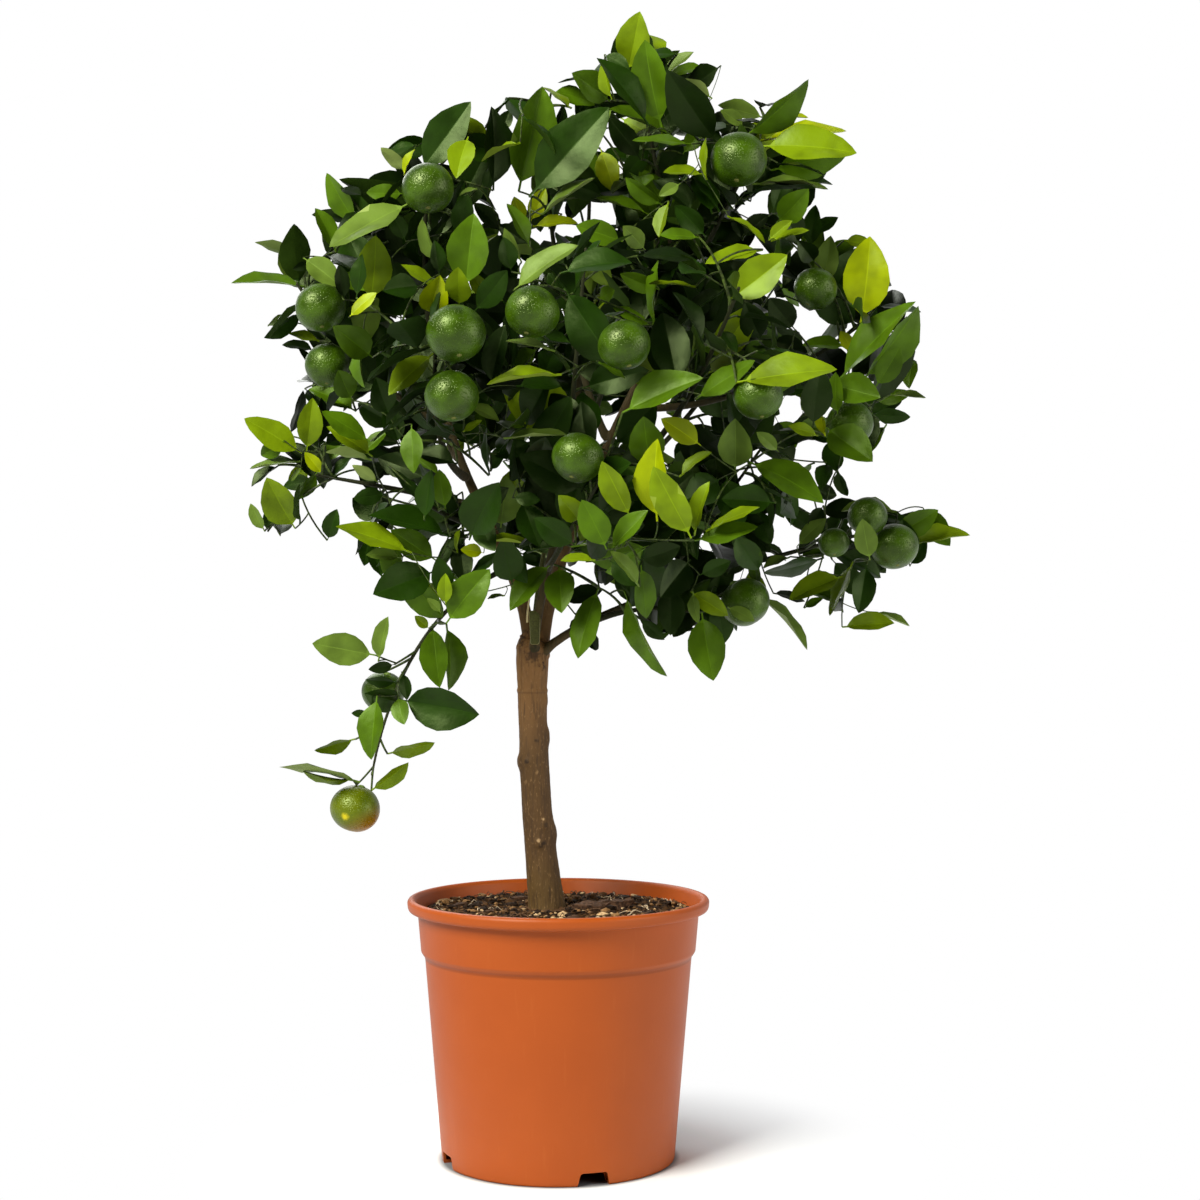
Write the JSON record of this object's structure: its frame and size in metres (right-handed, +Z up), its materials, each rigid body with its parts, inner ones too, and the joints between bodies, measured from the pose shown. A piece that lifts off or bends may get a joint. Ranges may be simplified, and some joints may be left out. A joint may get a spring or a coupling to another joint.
{
  "type": "potted calamondin orange tree",
  "caption": "Small citrus tree with a bare trunk, forking boughs, a leafy crown and small green fruits, in a round tapered plastic nursery pot.",
  "frame": {"origin": "centre of the pot's flat underside, on the surface the pot stands on", "axes": "+Z up along the pot's axis; +Y away from the front of the plant; +X to the right, where the lowest long bough reaches"},
  "size_m": [0.513, 0.416, 0.796],
  "materials": {
    "pot_plastic": "moulded terracotta-orange plastic, satin",
    "potting_soil": "dark crumbly bark and peat mix",
    "trunk_bark": "grey-brown bark with fine upright grooves",
    "bough_bark": "brown to green young bark",
    "foliage": "glossy deep green leaves with paler undersides"
  },
  "bodies": {
    "root": {"pot": "pot_plastic", "soil": "potting_soil", "trunk": "trunk_bark", "bough_upper_left": "bough_bark", "bough_upper_right": "bough_bark", "bough_centre": "bough_bark", "bough_back_mid": "bough_bark", "bough_low_right": "bough_bark", "bough_hanging": "bough_bark", "bough_low_left": "bough_bark", "bough_left": "bough_bark", "bough_front_left": "bough_bark", "bough_front_low_left": "bough_bark", "bough_back_left": "bough_bark", "bough_top": "bough_bark", "bough_upper_mid": "bough_bark", "bough_right": "bough_bark", "bough_front_right": "bough_bark", "bough_front_mid": "bough_bark", "bough_front_low": "bough_bark", "bough_front_low_right": "bough_bark", "bough_bottom": "bough_bark", "bough_back_right": "bough_bark", "bough_back_low": "bough_bark", "bough_back_top": "bough_bark", "foliage_upper_left": "foliage", "foliage_upper_right": "foliage", "foliage_centre": "foliage", "foliage_back_mid": "foliage", "foliage_low_right": "foliage", "foliage_hanging": "foliage", "foliage_low_left": "foliage", "foliage_left": "foliage", "foliage_front_left": "foliage", "foliage_front_low_left": "foliage", "foliage_back_left": "foliage", "foliage_top": "foliage", "foliage_upper_mid": "foliage", "foliage_right": "foliage", "foliage_front_right": "foliage", "foliage_front_mid": "foliage", "foliage_front_low": "foliage", "foliage_front_low_right": "foliage", "foliage_bottom": "foliage", "foliage_back_right": "foliage", "foliage_back_low": "foliage", "foliage_back_top": "foliage"}
  },
  "joints": []
}
